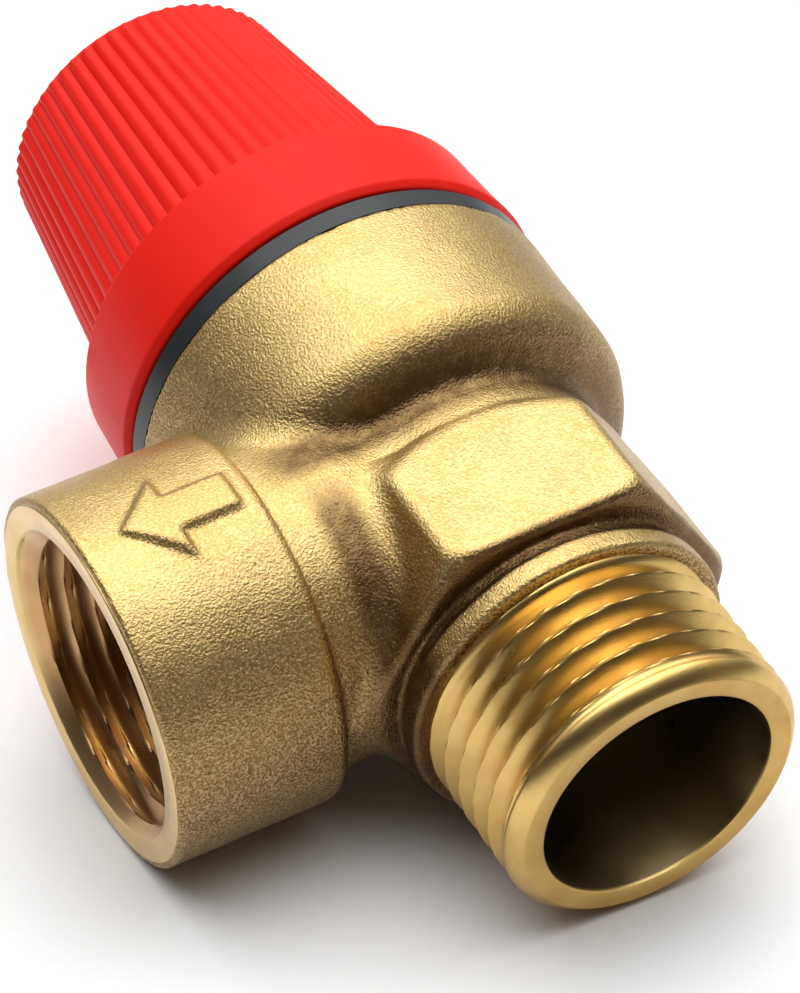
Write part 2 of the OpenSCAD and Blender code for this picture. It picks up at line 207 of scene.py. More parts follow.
def rounded_profile(corners, steps=4):
    """A closed (radius, height) outline from (radius, height, rounding) corners."""
    outline = []
    count = len(corners)
    for i, (r, z, rounding) in enumerate(corners):
        here = np.array([r, z])
        if rounding == 0:
            outline.append(here)
            continue
        back = np.array(corners[i - 1][:2]) - here
        ahead = np.array(corners[(i + 1) % count][:2]) - here
        back = back / np.linalg.norm(back)
        ahead = ahead / np.linalg.norm(ahead)
        half = math.acos(np.clip(back @ ahead, -1, 1)) / 2
        centre = here + (back + ahead) / np.linalg.norm(back + ahead) * rounding / math.sin(half)
        first = here + back * rounding / math.tan(half) - centre
        last = here + ahead * rounding / math.tan(half) - centre
        for step in range(steps + 1):
            share = step / steps
            blend = first * (1 - share) + last * share
            outline.append(centre + blend / np.linalg.norm(blend) * rounding)
    return np.array(outline)


# ---------------------------------------------------------------- solid fields: negative inside, in mm
def union_round(a, b, r):
    """Union with a concave fillet of radius r where the two surfaces meet."""
    return np.maximum(r, np.minimum(a, b)) - np.hypot(np.maximum(r - a, 0), np.maximum(r - b, 0))


def meet_round(a, b, r):
    """Intersection with a convex edge of radius r."""
    return np.minimum(-r, np.maximum(a, b)) + np.hypot(np.maximum(r + a, 0), np.maximum(r + b, 0))


def slab(value, low, high):
    """Negative between two levels."""
    return np.maximum(low - value, value - high)


def hexagon_field(x, y, z, r):
    """The wrench hexagon: soft edges, a ball over its top corners and a cone under its lower ones."""
    soft = 0.55
    lower_soft = 0.6
    lower_corner_r = 12.7
    side_turn = math.radians(60)
    sides = np.abs(y) - HEX_HALF
    for angle in (side_turn, -side_turn):
        across = np.abs(math.sin(angle) * x + math.cos(angle) * y) - HEX_HALF
        sides = meet_round(sides, across, soft)
    corner_r = HEX_HALF / math.cos(side_turn / 2)
    ball_rise = HEX_TOP ** 2 - HEX_CORNER_TOP ** 2
    ball_spread = corner_r ** 2 - NECK_R ** 2
    ball_z = (ball_rise - ball_spread) / (2 * (HEX_TOP - HEX_CORNER_TOP))
    ball = np.hypot(r, z - ball_z) - math.hypot(NECK_R, HEX_TOP - ball_z)
    lower_cone = (r - lower_corner_r - (z - HEX_BOTTOM)) / math.sqrt(2)
    ends = meet_round(sides, slab(z, HEX_BOTTOM, HEX_TOP), lower_soft)
    return meet_round(meet_round(ends, ball, soft), lower_cone, soft)


def cup_field(z, r):
    """The cup: a slightly tapered drum with a rounded foot whose underside rises outwards."""
    taper = (CUP_RIM_R - CUP_FOOT_R) / (CUP_RIM_Z - CUP_FOOT_Z)
    underside_slope = 0.55
    underside_r = 12.2
    underside_z = 27.4
    wall = r - CUP_FOOT_R - (z - CUP_FOOT_Z) * taper
    underside = ((r - underside_r) * underside_slope - (z - underside_z)) / math.hypot(1, underside_slope)
    drum = meet_round(wall, underside, CUP_ROUND)
    return meet_round(drum, z - CUP_RIM_Z, RIM_EDGE)


def port_field(x, y, z):
    """The outlet barrel with its step, and the neck behind it, which narrows inside the body."""
    lip = 0.35
    narrowing_x = -9.0
    narrowing = 0.2
    shoulder = 0.9
    crease = 0.35
    port_r = np.hypot(y, z - PORT_Z)
    barrel = meet_round(port_r - PORT_R, -x - PORT_REACH + MOUTH_STEP, lip)
    barrel = meet_round(barrel, x + PORT_STEP, shoulder)
    neck_r = PORT_NECK_R - narrowing * np.maximum(x - narrowing_x, 0)
    neck = np.maximum(port_r - neck_r, slab(x, -PORT_REACH + PORT_MOUTH_H, 0))
    return union_round(barrel, neck, crease)


def arrow_field(x, y, z):
    """The raised flow arrow on the barrel's front."""
    edge_soft = 0.42
    height = np.abs(z - PORT_Z)
    from_tip = x + ARROW_TIP
    head_slope = ARROW_HALF_HEAD / ARROW_HEAD
    head = np.maximum((height - from_tip * head_slope) / math.hypot(1, head_slope), from_tip - ARROW_HEAD)
    shaft = np.maximum(height - ARROW_HALF_SHAFT, slab(from_tip, ARROW_HEAD / 2, ARROW_LENGTH))
    outline = np.minimum(head, shaft)
    top = np.hypot(y, z - PORT_Z) - PORT_R - ARROW_RELIEF
    return np.maximum(meet_round(outline, top, edge_soft), y)


def cavity_field(x, y, z, r):
    """The space inside: inlet bore, nozzle, chamber, cup bore and outlet passage."""
    bore = np.maximum(r - INLET_BORE_R, z - INLET_BORE_TOP)
    orifice = np.maximum(r - ORIFICE_R, z - SEAT_Z)
    chamber = np.maximum(r - CHAMBER_R, CHAMBER_Z - z)
    nozzle = np.maximum(r - NOZZLE_R, z - SEAT_Z)
    cup_bore = np.maximum(r - CUP_BORE_R, LEDGE_Z - z)
    port_r = np.hypot(y, z - PORT_Z)
    passage = np.maximum(port_r - PASSAGE_R, x)
    thread_room = np.maximum(port_r - LINER_R, x + PORT_THREAD_END)
    field = np.minimum(np.maximum(chamber, -nozzle), cup_bore)
    for opening in (bore, orifice, passage, thread_room):
        field = np.minimum(field, opening)
    return field


def casting_lumps(x, y, z):
    """The casting's slight unevenness: shallow dents a few millimetres across, from crossing waves."""
    depth = 0.035
    waves = ((0.9, 1.3, 0.7, 0.4), (-1.1, 0.5, 1.2, 1.9), (0.4, -1.6, 0.9, 3.1), (1.5, 0.8, -1.0, 5.0))
    total = sum(np.sin(a * x + b * y + c * z + shift) for a, b, c, shift in waves)
    return depth * (1 + total / len(waves))


def body_field(x, y, z):
    """The whole casting above the inlet thread, with its fillets and its inside."""
    collar_fillet = 0.25
    hexagon_fillet = 0.12
    waist_fillet = 0.5
    cup_fillet = 0.6
    port_fillet = 1.3
    arrow_fillet = 0.35
    r = np.hypot(x, y)
    collar = meet_round(r - COLLAR_R, slab(z, INLET_THREAD_TOP, COLLAR_TOP), EDGE)
    core = np.maximum(r - COLLAR_NECK_R, slab(z, INLET_THREAD_TOP + EDGE, HEX_TOP))
    collar = union_round(collar, core, collar_fillet)
    waist = np.maximum(r - NECK_R, slab(z, HEX_BOTTOM + 2 * EDGE, CUP_FOOT_Z))
    outside = union_round(collar, hexagon_field(x, y, z, r), hexagon_fillet)
    outside = union_round(outside, waist, waist_fillet)
    outside = union_round(outside, cup_field(z, r), cup_fillet)
    outside = union_round(outside, port_field(x, y, z), port_fillet)
    outside = union_round(outside, arrow_field(x, y, z), arrow_fillet)
    return np.maximum(outside + casting_lumps(x, y, z), -cavity_field(x, y, z, r))


def surface_net(field, low, high, step):
    """A closed quad surface on the field's zero level, with one vertex per crossed cell."""
    axes = [np.arange(a, b + step, step) for a, b in zip(low, high)]
    grid = np.meshgrid(*axes, indexing="ij")
    values = field(*grid)
    inside = values < 0
    cells = tuple(n - 1 for n in values.shape)
    total = np.zeros(cells + (3,))
    crossings = np.zeros(cells)
    edges = []
    for axis in range(3):
        before = [slice(None)] * 3
        after = [slice(None)] * 3
        before[axis] = slice(None, -1)
        after[axis] = slice(1, None)
        before, after = tuple(before), tuple(after)
        crossed = inside[before] != inside[after]
        share = np.zeros(crossed.shape)
        share[crossed] = values[before][crossed] / (values[before][crossed] - values[after][crossed])
        edges.append((crossed, inside[before]))
        others = [other for other in range(3) if other != axis]
        for offsets in ((0, 0), (0, 1), (1, 0), (1, 1)):
            part = [slice(None)] * 3
            for other, offset in zip(others, offsets):
                part[other] = slice(offset, offset + cells[other])
            part = tuple(part)
            crossings += crossed[part]
            total[..., axis] += share[part]
            for other, offset in zip(others, offsets):
                total[..., other] += offset * crossed[part]
    used = crossings > 0
    number = np.full(cells, -1)
    number[used] = np.arange(used.sum())
    cell = np.stack(np.nonzero(used), axis=1)
    points = np.array(low) + step * (cell + total[used] / crossings[used][:, None])
    faces = []
    for axis, (crossed, low_inside) in enumerate(edges):
        a, b = [(axis + k) % 3 for k in (1, 2)]
        at = np.stack(np.nonzero(crossed), axis=1)
        at = at[(at[:, a] > 0) & (at[:, b] > 0) & (at[:, a] < cells[a]) & (at[:, b] < cells[b])]
        corners = []
        for back_a, back_b in ((1, 1), (0, 1), (0, 0), (1, 0)):
            corner = at.copy()
            corner[:, a] -= back_a
            corner[:, b] -= back_b
            corners.append(number[tuple(corner.T)])
        quads = np.stack(corners, axis=1)
        flip = ~low_inside[tuple(at.T)]
        quads[flip] = quads[flip][:, ::-1]
        faces.append(quads)
    return pull_to_level(field, points, step), np.concatenate(faces).tolist()


def pull_to_level(field, points, step):
    """Moves points along the field's slope onto its zero level, by half a cell at most."""
    nudge = 0.01
    passes = 3
    least_steepness = 0.25
    start = points.copy()
    for _ in range(passes):
        value = field(*points.T)
        slope = np.stack([
            (field(*(points + offset).T) - field(*(points - offset).T)) / (2 * nudge)
            for offset in np.eye(3) * nudge
        ], axis=1)
        steepness = np.maximum((slope ** 2).sum(axis=1), least_steepness)
        points = points - slope * (value / steepness)[:, None]
        points = start + np.clip(points - start, -step / 2, step / 2)
    return points


# ---------------------------------------------------------------- material nodes
class Shader:
    """A node material built around one Principled shader, textured in millimetres in the valve's own axes."""

    def __init__(self, name):
        self.material = bpy.data.materials.new(name)
        self.material.use_nodes = True
        self.nodes = self.material.node_tree.nodes
        self.links = self.material.node_tree.links
        self.surface = self.nodes["Principled BSDF"]
        place = self.nodes.new("ShaderNodeTexCoord")
        stand_up = self.nodes.new("ShaderNodeMapping")
        stand_up.vector_type = "TEXTURE"
        stand_up.inputs["Location"].default_value = RESTING.translation
        stand_up.inputs["Rotation"].default_value = RESTING.to_3x3().normalized().to_euler()
        stand_up.inputs["Scale"].default_value = (MM, MM, MM)
        self.links.new(place.outputs["Object"], stand_up.inputs["Vector"])
        self.place = stand_up.outputs[0]

    def stretch(self, factors):
        """The coordinates scaled by a factor per axis."""
        node = self.nodes.new("ShaderNodeMapping")
        node.inputs["Scale"].default_value = factors
        self.links.new(self.place, node.inputs["Vector"])
        return node.outputs[0]

    def radius(self, centre, across):
        """Distance from an axis through centre; across is 1 along the directions across it."""
        value = self.place
        for operation, operand in (("SUBTRACT", centre), ("MULTIPLY", across), ("LENGTH", None)):
            node = self.nodes.new("ShaderNodeVectorMath")
            node.operation = operation
            if operand:
                node.inputs[1].default_value = operand
            self.links.new(value, node.inputs[0])
            value = node.outputs["Value" if operation == "LENGTH" else "Vector"]
        return value

    def band(self, value, low, high, soft):
        """1 from low to high, fading to 0 over soft on either side."""
        rise = self.remap(value, low - soft, low, 0.0, 1.0)
        return self.math("MINIMUM", rise, self.remap(value, high, high + soft, 1.0, 0.0))

    def along(self, axis, vector):
        """One component of a vector, by its letter."""
        node = self.nodes.new("ShaderNodeSeparateXYZ")
        self.links.new(vector, node.inputs[0])
        return node.outputs[axis]

    def painted_recess_shade(self):
        """1 where the casting is darkened, partly painted shade and partly its dark skin: under cup and
        hexagon, and at the port's root.
        """
        cup_crease = (26.2, 27.9, 1.4)
        hexagon_crease = (COLLAR_TOP, HEX_BOTTOM + 0.2, 0.5)
        port_crease = (-11.4, -9.8, 1.1)
        port_side = (-14.0, -11.5)
        cup_shade = (22.0, 25.0)
        x = self.along("X", self.place)
        z = self.along("Z", self.place)
        beside_port = self.remap(x, *port_side, 0.0, 1.0)
        under_cup = self.math("MULTIPLY", self.band(z, *cup_crease), beside_port)
        under_hexagon = self.math("MULTIPLY", self.band(z, *hexagon_crease), beside_port)
        below_cup = self.remap(z, *cup_shade, 1.0, 0.0)
        port_root = self.math("MULTIPLY", self.band(x, *port_crease), below_cup)
        return self.math("MAXIMUM", self.math("MAXIMUM", under_cup, under_hexagon), port_root)

    def underside(self, low, high):
        """1 where the surface faces down or sideways and 0 where it faces up, between two cosines; it masks
        painted shade.
        """
        geometry = self.nodes.new("ShaderNodeNewGeometry")
        return self.remap(self.along("Z", geometry.outputs["Normal"]), low, high, 1.0, 0.0)

    def in_inlet(self):
        """1 inside the inlet bore and 0 outside it; it masks the bore's painted shade."""
        wall = INLET_BORE_R + 0.02
        beyond = INLET_BORE_R + 0.1
        return self.remap(self.radius((0, 0, 0), (1, 1, 0)), wall, beyond, 1.0, 0.0)

    def noise(self, size, detail=3.0, place=None):
        """Noise from 0 to 1 whose features are about size mm across."""
        node = self.nodes.new("ShaderNodeTexNoise")
        node.inputs["Scale"].default_value = 1 / size
        node.inputs["Detail"].default_value = detail
        self.links.new(place or self.place, node.inputs["Vector"])
        return node.outputs["Fac"]

    def remap(self, value, from_low, from_high, to_low, to_high):
        """The value carried from one range to another, and held at its ends."""
        node = self.nodes.new("ShaderNodeMapRange")
        limits = {"From Min": from_low, "From Max": from_high, "To Min": to_low, "To Max": to_high}
        for socket, number in limits.items():
            node.inputs[socket].default_value = number
        self.links.new(value, node.inputs["Value"])
        return node.outputs[0]

    def math(self, operation, a, b):
        """An operation on two values, each a number or another node's output."""
        node = self.nodes.new("ShaderNodeMath")
        node.operation = operation
        for socket, value in zip(node.inputs, (a, b)):
            if isinstance(value, (int, float)):
                socket.default_value = value
            else:
                self.links.new(value, socket)
        return node.outputs[0]

    def blend(self, amount, first, second):
        """A colour between two, each an RGB triple or another node's output."""
        colour_inputs = (6, 7)
        colour_output = 2
        node = self.nodes.new("ShaderNodeMix")
        node.data_type = "RGBA"
        self.links.new(amount, node.inputs["Factor"])
        for index, colour in zip(colour_inputs, (first, second)):
            if isinstance(colour, tuple):
                node.inputs[index].default_value = (*colour, 1.0)
            else:
                self.links.new(colour, node.inputs[index])
        return node.outputs[colour_output]

    def bump(self, heights):
        """Bumps from (height, depth in mm) pairs, one on top of the other."""
        normal = None
        for height, depth in heights:
            node = self.nodes.new("ShaderNodeBump")
            node.inputs["Distance"].default_value = depth * MM
            self.links.new(height, node.inputs["Height"])
            if normal is not None:
                self.links.new(normal, node.inputs["Normal"])
            normal = node.outputs[0]
        self.links.new(normal, self.surface.inputs["Normal"])

    def set(self, **sockets):
        """Sets shader sockets, given by name with underscores, to a number or another node's output."""
        for name, value in sockets.items():
            socket = self.surface.inputs[name.replace("_", " ")]
            if isinstance(value, (int, float)):
                socket.default_value = value
            else:
                self.links.new(value, socket)


# ---------------------------------------------------------------- colours: linear red, green and blue
CAST_GOLD = (0.56, 0.39, 0.143)
CAST_DULL = (0.45, 0.30, 0.096)
CAST_SHADE = (0.165, 0.089, 0.026)
# paler grain specks, partly painted glints
GRAIN_AND_GLINT_GOLD = (0.88, 0.67, 0.33)
PORE_BROWN = (0.12, 0.07, 0.03)
# painted shade in recesses, partly dark casting skin
RECESS_SHADE_BROWN = (0.140, 0.076, 0.034)
# painted shade inside the inlet bore
BORE_SHADE_BROWN = (0.27, 0.21, 0.11)
CUT_GOLD = (0.80, 0.56, 0.20)
CUT_DULL = (0.62, 0.39, 0.12)
CUT_SHADE = (0.36, 0.20, 0.055)
RING_GOLD = (0.70, 0.52, 0.24)
RING_DULL = (0.58, 0.40, 0.16)
# painted shade inside the outlet thread
THREAD_SHADE_GOLD = (0.62, 0.39, 0.18)
THREAD_SHADE_DULL = (0.40, 0.22, 0.095)
RED = (0.76, 0.011, 0.004)
FADED_RED = (0.79, 0.019, 0.009)
BLACK = (0.017, 0.021, 0.024)
WORN_BLACK = (0.030, 0.036, 0.040)
WHITE = (0.80, 0.78, 0.72)
YELLOWED_WHITE = (0.72, 0.69, 0.62)
PLATED_GREY = (0.62, 0.62, 0.64)
SPRING_GREY = (0.50, 0.50, 0.52)
RUBBER_BLACK = (0.018, 0.018, 0.019)
RUBBER_DUST = (0.06, 0.058, 0.055)
PAPER = (0.92, 0.92, 0.92)
PAPER_TOOTH = (0.95, 0.95, 0.95)
FAR_PAPER_SHADE = (0.22, 0.22, 0.22)


# ---------------------------------------------------------------- finishes
def cast_brass(name):
    """Sand-blasted cast brass: grain with paler specks, partly painted glints, duller patches, a few pores,
    painted shade on undersides and in the bore, and dark recesses, partly painted shade and partly casting
    skin.
    """
    shader = Shader(name)
    grain = shader.noise(0.17, detail=2.5)
    coarse = shader.noise(0.8, detail=3.0)
    patches = shader.noise(7.0, detail=4.0)
    pore_area = shader.remap(shader.noise(6.0, detail=1.0), 0.66, 0.72, 0.0, 1.0)
    pits = shader.remap(shader.noise(0.4, detail=1.0), 0.68, 0.72, 0.0, 1.0)
    pores = shader.math("MULTIPLY", pits, pore_area)
    tone = shader.blend(shader.remap(patches, 0.35, 0.7, 0.0, 1.0), CAST_GOLD, CAST_DULL)
    # painted shade: faces turned down or sideways darken towards CAST_SHADE
    tone = shader.blend(shader.underside(-0.15, 0.95), tone, CAST_SHADE)
    # paler grain specks in the base colour, partly real grain and partly painted glints
    tone = shader.blend(shader.remap(grain, 0.42, 0.64, 0.0, 0.42), tone, GRAIN_AND_GLINT_GOLD)
    # painted shade under cup and hexagon and at the port's root, partly dark casting skin
    recess_shade = shader.math("MULTIPLY", shader.painted_recess_shade(), shader.remap(coarse, 0.3, 0.6, 0.7, 0.95))
    tone = shader.blend(recess_shade, tone, RECESS_SHADE_BROWN)
    tone = shader.blend(pores, tone, PORE_BROWN)
    # painted shade: the inlet bore darkened
    tone = shader.blend(shader.in_inlet(), tone, BORE_SHADE_BROWN)
    shader.set(Base_Color=tone, Metallic=1.0, Roughness=shader.remap(patches, 0.3, 0.7, 0.34, 0.44))
    shader.bump(((grain, 0.085), (coarse, 0.035), (pores, -0.12)))
    return shader.material


def cut_brass(name):
    """Machined brass: fine turning marks, faint stains, painted shade on its undersides, a matt end ring and
    a bore darkened as painted shade.
    """
    roughness = 0.26
    shader = Shader(name)
    marks = shader.noise(0.12, detail=2.0, place=shader.stretch((0.25, 0.25, 2.5)))
    stains = shader.noise(3.5, detail=4.0)
    tone = shader.blend(shader.remap(stains, 0.4, 0.75, 0.0, 1.0), CUT_GOLD, CUT_DULL)
    # painted shade on faces turned down or sideways
    underside_shade = shader.math("MULTIPLY", shader.underside(-0.6, 0.75), 0.7)
    tone = shader.blend(underside_shade, tone, CUT_SHADE)
    end_ring = shader.remap(shader.along("Z", shader.place), 0.02, 0.1, 0.18, 0.0)
    tone = shader.blend(end_ring, tone, CUT_DULL)
    # painted shade: the inlet bore darkened
    tone = shader.blend(shader.in_inlet(), tone, BORE_SHADE_BROWN)
    polish = shader.remap(stains, 0.3, 0.7, roughness, roughness + 0.12)
    shader.set(Base_Color=tone, Metallic=1.0, Roughness=shader.math("ADD", polish, end_ring))
    shader.bump(((marks, 0.008), (stains, 0.02)))
    return shader.material


def mouth_brass():
    """The outlet's machined face, bright on the ring and darker brown inside the thread as painted shade."""
    fade = 0.5
    shader = Shader("outlet_thread_brass")
    marks = shader.noise(0.12, detail=2.0, place=shader.stretch((2.5, 0.25, 0.25)))
    stains = shader.noise(3.0, detail=4.0)
    from_axis = shader.radius((0, 0, PORT_Z), (0, 1, 1))
    inside = shader.remap(from_axis, PORT_MOUTH_R - fade, PORT_MOUTH_R, 1.0, 0.0)
    ring = shader.blend(stains, RING_GOLD, RING_DULL)
    # painted shade: the thread inside the mouth is darker than the ring
    thread = shader.blend(stains, THREAD_SHADE_GOLD, THREAD_SHADE_DULL)
    shader.set(Base_Color=shader.blend(inside, ring, thread), Metallic=1.0,
               Roughness=shader.remap(stains, 0.3, 0.7, 0.26, 0.36))
    shader.bump(((marks, 0.008), (stains, 0.02)))
    return shader.material


def moulded_plastic(name, colour, faded, roughness, gloss=0.5):
    """Moulded plastic: a faint orange peel, slight fading and rubbed spots."""
    shader = Shader(name)
    peel = shader.noise(0.5, detail=2.0)
    fading = shader.noise(9.0, detail=3.0)
    rubbed = shader.noise(1.6, detail=5.0, place=shader.stretch((1.0, 1.0, 0.3)))
    tone = shader.blend(shader.remap(fading, 0.35, 0.75, 0.0, 0.6), colour, faded)
    wear = shader.remap(rubbed, 0.55, 0.8, 0.0, 0.12)
    base = shader.remap(fading, 0.3, 0.7, roughness, roughness + 0.08)
    shader.set(Base_Color=tone, Roughness=shader.math("ADD", wear, base), Specular_IOR_Level=gloss)
    shader.bump(((peel, 0.006), (rubbed, 0.01)))
    return shader.material


def drawn_metal(name, colour, roughness):
    """Plated steel of the inner pieces: brushed streaks and dull spots."""
    shader = Shader(name)
    streaks = shader.noise(0.2, detail=3.0, place=shader.stretch((0.15, 1.0, 1.0)))
    spots = shader.noise(2.5, detail=4.0)
    dullness = 0.7
    dull = tuple(channel * dullness for channel in colour)
    tone = shader.blend(shader.remap(spots, 0.45, 0.75, 0.0, 1.0), colour, dull)
    brushing = shader.remap(streaks, 0.3, 0.7, roughness, roughness + 0.15)
    shader.set(Base_Color=tone, Metallic=1.0, Roughness=brushing)
    shader.bump(((streaks, 0.006), (spots, 0.01)))
    return shader.material


def soft_rubber(name):
    """Black rubber with a dusty, matt skin."""
    shader = Shader(name)
    dust = shader.noise(1.2, detail=4.0)
    grain = shader.noise(0.25, detail=2.0)
    tone = shader.blend(shader.remap(dust, 0.5, 0.8, 0.0, 1.0), RUBBER_BLACK, RUBBER_DUST)
    shader.set(Base_Color=tone, Roughness=shader.remap(dust, 0.3, 0.7, 0.6, 0.8))
    shader.bump(((grain, 0.012),))
    return shader.material


def floor_material():
    """Matt pale paper with a hardly visible tooth, greyer away from the valve as painted shade."""
    pale_r = 100
    grey_r = 300
    shader = Shader("floor_paper")
    tooth = shader.noise(0.8, detail=2.0)
    tone = shader.blend(tooth, PAPER, PAPER_TOOTH)
    # painted shade: the floor darkens away from the valve, as if the light fell off
    away = shader.remap(shader.radius((0, 0, 0), (1, 1, 1)), pale_r, grey_r, 0.0, 1.0)
    tone = shader.blend(away, tone, FAR_PAPER_SHADE)
    shader.set(Base_Color=tone, Roughness=shader.remap(tooth, 0.3, 0.7, 0.75, 0.85))
    return shader.material


# ---------------------------------------------------------------- the brass body and its threads
def build_body():
    """The casting above the inlet thread, with the outlet barrel, hexagon, cup and arrow."""
    step = 0.23
    margin = 2 * step
    low = (-PORT_REACH - margin, -SKIRT_R - margin, INLET_THREAD_TOP - margin)
    high = (SKIRT_R + margin, SKIRT_R + margin, CUP_RIM_Z + margin)
    points, quads = surface_net(body_field, low, high, step)
    body = piece("body_casting", points, quads, cast_brass("cast_brass"), "housing",
                 smooth_angle=80)
    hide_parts("valve_body")


def thread_wave(angles, along):
    """Rounded 55-degree thread form: 1 on the crests and 0 in the roots of a right-handed helix."""
    roundness = 0.997
    phase = TURN * along / THREAD_PITCH - angles
    return 0.5 + np.arcsin(roundness * np.sin(phase)) / (2 * math.asin(roundness))


def build_inlet_thread():
    """The male thread with its rounded start, end ring and smooth bore."""
    rows = 160
    columns = 288
    crest_gap = 0.02
    crest_r = INLET_R - crest_gap
    root_in_body = 2.0
    bore_edge = 0.3
    angles = np.arange(columns) * TURN / columns
    heights = np.linspace(0, INLET_THREAD_TOP, rows)[:, None]
    shallowest = 0.25
    land_z = 1.1
    runout = np.minimum(1, shallowest + (INLET_THREAD_TOP - heights) / (THREAD_PITCH / 2))
    run_in = np.clip((heights - land_z) / (THREAD_PITCH / 2), 0, 1)
    thread = crest_r - THREAD_DEPTH * (1 - thread_wave(angles, heights)) * runout * run_in
    rounding = (crest_r - INLET_END_R) * np.clip(1 - heights / INLET_CHAMFER, 0, 1) ** 2
    outside = np.minimum(thread, crest_r - rounding)
    inner_r = INLET_BORE_R + np.array([0, 0, bore_edge / 3, bore_edge])[:, None]
    inner_z = np.array([INLET_THREAD_TOP + root_in_body, bore_edge, bore_edge / 3, 0.0])[:, None]
    root = np.full((1, columns), INLET_R - THREAD_DEPTH)
    full = np.ones((1, columns))
    radii = np.concatenate([outside, root, inner_r * full])
    levels = np.concatenate([heights * full, full * (INLET_THREAD_TOP + root_in_body), inner_z * full])
    faces = lathe_faces(len(radii), columns)
    piece("inlet_thread", lathe_points(radii, levels, angles), faces, cut_brass("thread_brass"), "housing",
          smooth_angle=30)


def build_outlet_thread():
    """The female thread and the machined face of the mouth, a sleeve set in the barrel."""
    rows = 110
    columns = 256
    hold = 0.1
    overlap = 0.2
    face_margin = 0.5
    face_h = 0.5
    sleeve_r = LINER_R + hold
    face_r = PORT_R - face_margin
    angles = np.arange(columns) * TURN / columns
    low = PORT_THREAD_END - overlap
    heights = np.linspace(low, PORT_REACH, rows)[:, None]
    runout = np.clip((heights - low) / THREAD_PITCH, 0, 1)
    thread = INLET_R - THREAD_DEPTH * np.maximum(thread_wave(angles, heights), 1 - runout)
    countersink = PORT_MOUTH_R - (PORT_REACH - heights)
    inside = np.maximum(thread, countersink)
    outside = rounded_profile([
        (face_r, PORT_REACH, 0.12), (face_r, PORT_REACH - face_h, 0), (sleeve_r, PORT_REACH - face_h, 0),
        (sleeve_r, low, 0), (INLET_R - THREAD_DEPTH, low, 0), (PORT_MOUTH_R, PORT_REACH, 0),
    ])[:-2]
    full = np.ones((1, columns))
    radii = np.concatenate([inside, outside[:, :1] * full])
    levels = np.concatenate([heights * full, outside[:, 1:] * full])
    points = to_port(lathe_points(radii, levels, angles))
    faces = [face[::-1] for face in lathe_faces(len(radii), columns)]
    piece("outlet_thread", points, faces, mouth_brass(), "housing", smooth_angle=50)


# ---------------------------------------------------------------- the red knob
def build_knob():
    """The knob: a smooth flared skirt, a shoulder, and a ribbed, tapering grip that rises out of it."""
    columns_per_rib = 12
    columns = RIBS * columns_per_rib
    rib_depth = 0.24
    grip_rows = 26
    recess_wall = 0.7
    cap_seat_r = CAP_R + SEAT_GAP
    recess_r = CAP_R - recess_wall
    spindle_hole_r = 2.56
    skirt_bore_r = SKIRT_TOP_R - KNOB_WALL
    angles = np.arange(columns) * TURN / columns
    slope = (GRIP_FOOT_R - GRIP_TOP_R) / (KNOB_TOP - EDGE - GRIP_FOOT_Z)
    hollow_top = GRIP_TOP_R + slope * (KNOB_TOP - EDGE - WEB_Z) - KNOB_WALL
    grip_z = np.linspace(GRIP_FOOT_Z, KNOB_TOP - EDGE, grip_rows)[:, None]
    grip_r = GRIP_FOOT_R - (grip_z - GRIP_FOOT_Z) * slope
    valley = 1 - np.abs(np.cos(RIBS / 2 * (angles - TURN / RIBS / 2)))
    grip = grip_r - rib_depth * valley
    skirt = rounded_profile([
        (skirt_bore_r, KNOB_BOTTOM, 0.3), (SKIRT_R - EDGE, KNOB_BOTTOM, 0.3), (SKIRT_R, SKIRT_Z, 0.4),
        (SKIRT_R - EDGE / 2, SKIRT_Z + 5 * EDGE, 2.0), (SKIRT_TOP_R, GRIP_FOOT_Z, 0.2),
        (GRIP_FOOT_R, GRIP_FOOT_Z, 0),
    ])[:-1]
    top_and_inside = rounded_profile([
        (GRIP_TOP_R - EDGE, KNOB_TOP, 0.12), (cap_seat_r, KNOB_TOP, 0.15),
        (cap_seat_r, KNOB_TOP - CAP_H, 0.05), (recess_r, KNOB_TOP - CAP_H, 0.05),
        (recess_r, WEB_TOP, 0.3), (spindle_hole_r, WEB_TOP, 0.1),
        (spindle_hole_r, WEB_Z, 0.1), (hollow_top, WEB_Z, 0.4),
        (GRIP_FOOT_R - KNOB_WALL, GRIP_FOOT_Z, 1.0),
        (skirt_bore_r, GRIP_FOOT_Z - KNOB_WALL, 0.5), (skirt_bore_r, KNOB_BOTTOM, 0),
    ])[:-1]
    full = np.ones((1, columns))
    radii = np.concatenate([skirt[:, :1] * full, grip, top_and_inside[:, :1] * full])
    levels = np.concatenate([skirt[:, 1:] * full, grip_z * full, top_and_inside[:, 1:] * full])
    plastic = moulded_plastic("red_plastic", RED, FADED_RED, roughness=0.42, gloss=0.14)
    knob = piece("knob_grip", lathe_points(radii, levels, angles), lathe_faces(len(radii), columns),
                 plastic, "hand_knob", smooth_angle=35)
    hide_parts("knob")


# ---------------------------------------------------------------- the soft pieces inside
def build_diaphragm(rubber):
    """The rubber diaphragm, in sectors reaching from its clamped middle to its clamped rim."""
    sectors = 8
    columns = 10
    bending_rows = 9
    hole_r = 4.03
    washer_r = 7.6
    rim_r = CUP_BORE_R - SEAT_GAP
    bending = np.linspace(washer_r, CHAMBER_R, bending_rows)
    across = np.concatenate([[hole_r], bending, [rim_r]])
    loop_r = np.concatenate([across, across[::-1]])
    loop_z = np.repeat([LEDGE_Z, DIAPHRAGM_TOP], len(across))
    faces = tube_faces(columns, len(loop_r))
    for sector in range(sectors):
        first = sector * TURN / sectors
        angles = np.linspace(first, first + TURN / sectors, columns)[:, None]
        points = lathe_points(loop_r, loop_z, angles)
        part = piece(f"diaphragm_{sector}", points, faces, rubber, None)
        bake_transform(part)
        if sector == 0:
            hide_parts("diaphragm")


